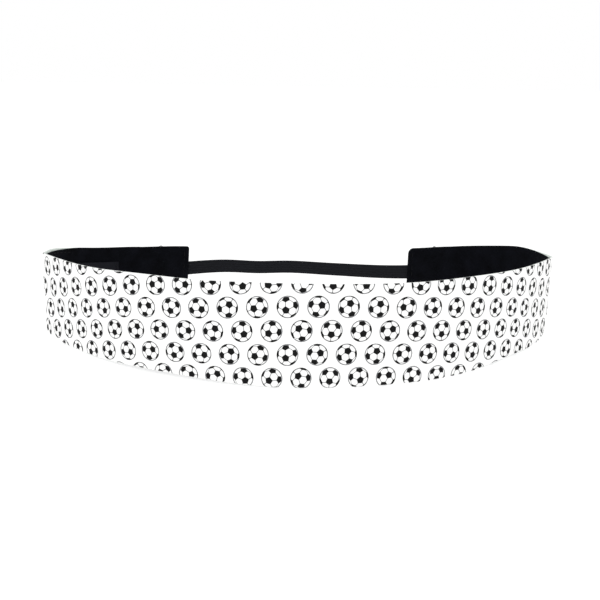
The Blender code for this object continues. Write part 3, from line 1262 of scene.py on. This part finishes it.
@dataclass(frozen=True)
class Elastic:
    """The knitted elastic across the back, tucked into both ends of the band.

    `level`, `rise`, `tilt`, `dip` and `drop` draw its wave in millimetres: a height, an arch, a lean,
    a hollow (depth, place, width) and a fall to the right (depth, start, length), placed in shares
    of the free length.
    """

    route: Route
    half_free: float = 51.7 * MM
    tuck: float = 12.0 * MM
    width: float = 6.0 * MM
    outer: float = 1.0 * MM
    thickness: float = 0.8 * MM
    rib_pitch: float = 1.2 * MM
    rib_depth: float = 0.07 * MM
    spacing: float = 0.6 * MM
    face_rows: int = 31
    edge_round: float = 0.3 * MM
    lean: float = 0.10
    flare_ends: float = 1.05
    flare_waist: float = 0.11
    flare_right: float = 0.04
    level: float = 0.85
    rise: float = 1.15
    tilt: float = 1.0
    dip: Triple = (1.05, 0.32, 0.115)
    drop: Triple = (0.8, 0.68, 0.32)

    def outline(self) -> tuple[Array, Array]:
        """Draw the section: up and inward of each row, once round, with ribs on both faces."""
        up = np.linspace(-1.0, 1.0, self.face_rows) * (self.width / 2 - self.edge_round)
        rib = self.rib_depth * np.cos(math.tau * up / self.rib_pitch)
        half = self.thickness / 2
        face = half - self.rib_depth + rib
        turn = np.linspace(0.0, math.pi, ROLL_STEPS)[1:-1]
        cap_up = up[-1] + self.edge_round * np.sin(turn)
        cap_depth = np.cos(turn) * half
        ring_up = np.concatenate([up, cap_up, up[::-1], -cap_up])
        ring_depth = np.concatenate([-face, -cap_depth, face[::-1], cap_depth])
        return np.append(ring_up, ring_up[0]), np.append(ring_depth, ring_depth[0])

    def share(self, x: Array) -> Array:
        """Places along the free length, from 0 at its left end to 1."""
        return np.clip((x + self.half_free) / (2.0 * self.half_free), 0.0, 1.0)

    def wave(self, x: Array) -> Array:
        """How far the slack elastic rises and dips along its free length."""
        share = self.share(x)
        slow = self.level + self.rise * np.sin(np.pi * share) + self.tilt * np.sin(2.0 * np.pi * share)
        deepest, middle, width = self.dip
        lowest, start, over = self.drop
        dip = deepest * np.exp(-(((share - middle) / width) ** 2))
        return (slow - (dip + lowest * smooth((share - start) / over))) * MM

    def flare(self, x: Array) -> Array:
        """Width as a share of the resting width: a little less where the elastic is drawn taut."""
        share = self.share(x)
        return self.flare_ends - self.flare_waist * np.sin(np.pi * share) + self.flare_right * share

    def build(self, material: Material) -> Piece:
        """Make the elastic in one piece, from the left of its tuck to the right."""
        ring_up, ring_depth = self.outline()
        reach = self.half_free + self.tuck
        x = stations(-reach, reach, self.spacing)
        mesh = bmesh.new()
        column, row = grid_cells(mesh, x.size, ring_up.size)
        at, depth = x[column], ring_depth[row]
        up = ring_up[row] * self.flare(at)
        level = self.route.end_lift + self.route.end_height / 2
        lean = self.lean * np.sin(np.pi * self.share(at))
        y = self.route.depth / 2 - self.outer - self.thickness / 2 - depth + lean * up
        places = np.stack([at, y, level + up + self.wave(at)], axis=-1)
        around = np.concatenate([[0.0], np.cumsum(np.hypot(np.diff(ring_up), np.diff(ring_depth)))])
        lay(mesh, places, np.stack([at, around[row] - self.width / 2], axis=-1))
        bmesh.ops.remove_doubles(mesh, verts=mesh.verts, dist=1e-6)
        bmesh.ops.holes_fill(mesh, edges=mesh.edges, sides=0)
        bmesh.ops.recalc_face_normals(mesh, faces=mesh.faces)
        piece = finish_piece("elastic", mesh, material)
        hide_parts("elastic_strap", "elastic_right_end")
        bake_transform(piece)
        LOG.info("elastic: %d vertices", len(piece.data.vertices))
        return piece


@dataclass(frozen=True)
class Finishes:
    """The materials of the headband."""

    ribbon: Material
    velvet: Material
    elastic: Material
    satin: Material
    thread: Material


@dataclass(frozen=True)
class Headband:
    """The whole headband."""

    route: Route
    loose_thread: float = 197.2 * MM

    def build(self, finishes: Finishes) -> None:
        """Make every piece: those of the front are attached to the front's body, and the others have their
        transforms baked in place.
        """
        wall, layout = Wall(self.route), Layout(self.route)
        cover = Layer("cover", "printed_ribbon", wall, layout, True, wall.cover_thickness)
        lining = Layer("lining", "velvet", wall, layout, False, wall.lining_thickness)
        stitches = Stitches(wall, layout)
        for stretch in Stretch:
            cover.build(stretch, finishes.ribbon)
            lining.build(stretch, finishes.velvet)
            for row in Row:
                stitches.row(stretch, row, finishes.thread)
        for side in Side:
            self.sew_end(side, stitches, finishes)
        Label(wall, layout).build(finishes.satin, stitches, finishes.thread)
        Elastic(self.route).build(finishes.elastic)

    def sew_end(self, side: Side, stitches: Stitches, finishes: Finishes) -> None:
        """Sew the seam across an end of the band, which also holds the elastic."""
        wall = stitches.wall
        along = side.value * (self.route.end - wall.end_seam)
        half = self.route.end_height / 2 - wall.row_inset
        stretch = Stretch(f"{side.word}_end")
        depth, reach = stitches.sewn_depth, (-half, half)
        seam = stitches.upright(f"seam_{side.word}_end", along, depth, reach, finishes.thread)
        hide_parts(f"end_seam_{side.word}")
        stitches.layout.attach(seam, stretch)
        stitches.loose_end(side, side.value * self.loose_thread, finishes.thread)


# ---------------------------------------------------------------- studio


@dataclass(frozen=True)
class Studio:
    """The camera, a plain pale floor and soft light all round."""

    camera_place: Triple = (-0.0120, -0.3242, 0.1139)
    target: Triple = (-0.0004, -0.0056, 0.0199)
    roll: float = math.radians(1.04)
    field_of_view: float = math.radians(40.0)
    floor_size: float = 6.0
    floor_colour: str = "d8d8d8"
    floor_glow: float = 0.45
    floor_grain: float = 400.0
    sky: float = 1.0
    lamp_place: Triple = (-0.3, -0.9, 0.9)
    lamp_target: Triple = (0.0, 0.0, 0.02)
    lamp_size: tuple[float, float] = (1.2, 0.8)
    lamp_watts: float = 2.2

    def aim(self, thing: Piece, place: Triple, target: Triple, roll: float = 0.0) -> None:
        """Put the camera or a lamp in its place, and point it at a target."""
        forward = (Vector(target) - Vector(place)).normalized()
        turn = forward.to_track_quat("-Z", "Y").to_matrix() @ Matrix.Rotation(roll, 3, "Z")
        thing.matrix_world = Matrix.Translation(place) @ turn.to_4x4()

    def add_camera(self) -> None:
        """Make the camera that the scene is seen with."""
        data = bpy.data.cameras.new("camera")
        data.angle = self.field_of_view
        data.clip_start = 0.01
        data.clip_end = 20.0
        camera = bpy.data.objects.new("camera", data)
        bpy.context.scene.collection.objects.link(camera)
        self.aim(camera, self.camera_place, self.target, self.roll)
        bpy.context.scene.camera = camera

    def add_floor(self) -> None:
        """Make the floor, a matt white sheet lit a little from below, so that shadows stay faint."""
        mesh = bmesh.new()
        bmesh.ops.create_grid(mesh, x_segments=1, y_segments=1, size=self.floor_size / 2)
        constants = {
            "Roughness": 0.9,
            "Specular IOR Level": 0.1,
            "Emission Color": (1.0, 1.0, 1.0, 1.0),
            "Emission Strength": self.floor_glow,
        }
        surface = Surface("white_card", constants)
        place = surface.add("TexCoord", output="Object")
        grain = surface.add("TexNoise", {"Vector": place, "Scale": self.floor_grain})
        colour = surface.tone(self.floor_colour, grain, 0.0, 1.0, 0.97, 1.0)
        finish_piece("floor", mesh, surface.dress(colour))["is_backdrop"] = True

    def add_light(self) -> None:
        """Make an even white surround, and one large soft lamp above the front."""
        scene = bpy.context.scene
        scene.view_settings.view_transform = "Standard"
        world = bpy.data.worlds.new("surround")
        world.use_nodes = True
        background = world.node_tree.nodes["Background"]
        background.inputs["Color"].default_value = (1.0, 1.0, 1.0, 1.0)
        background.inputs["Strength"].default_value = self.sky
        scene.world = world
        lamp = bpy.data.lights.new("softbox", "AREA")
        lamp.shape = "RECTANGLE"
        lamp.size, lamp.size_y = self.lamp_size
        lamp.energy = self.lamp_watts
        softbox = bpy.data.objects.new("softbox", lamp)
        scene.collection.objects.link(softbox)
        self.aim(softbox, self.lamp_place, self.lamp_target)


def corners() -> list[list[float]]:
    """The shown object's lowest and highest corner, as plain lists."""
    return [[float(x) for x in corner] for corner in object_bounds()]


def main() -> None:
    """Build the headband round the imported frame."""
    logging.basicConfig(level=logging.INFO, format="%(message)s")
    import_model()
    packed = corners()
    low, high = packed
    Studio().add_camera()
    Studio().add_floor()
    Studio().add_light()
    finishes = Finishes(
        ribbon=PrintedRibbon().build(),
        velvet=Velvet().build(),
        elastic=KnittedElastic().build(),
        satin=SatinLabel().build(),
        thread=SewingThread().build(),
    )
    Headband(Route(loop_width=high[0] - low[0], front_height=high[2] - low[2])).build(finishes)


if __name__ == "__main__":
    main()
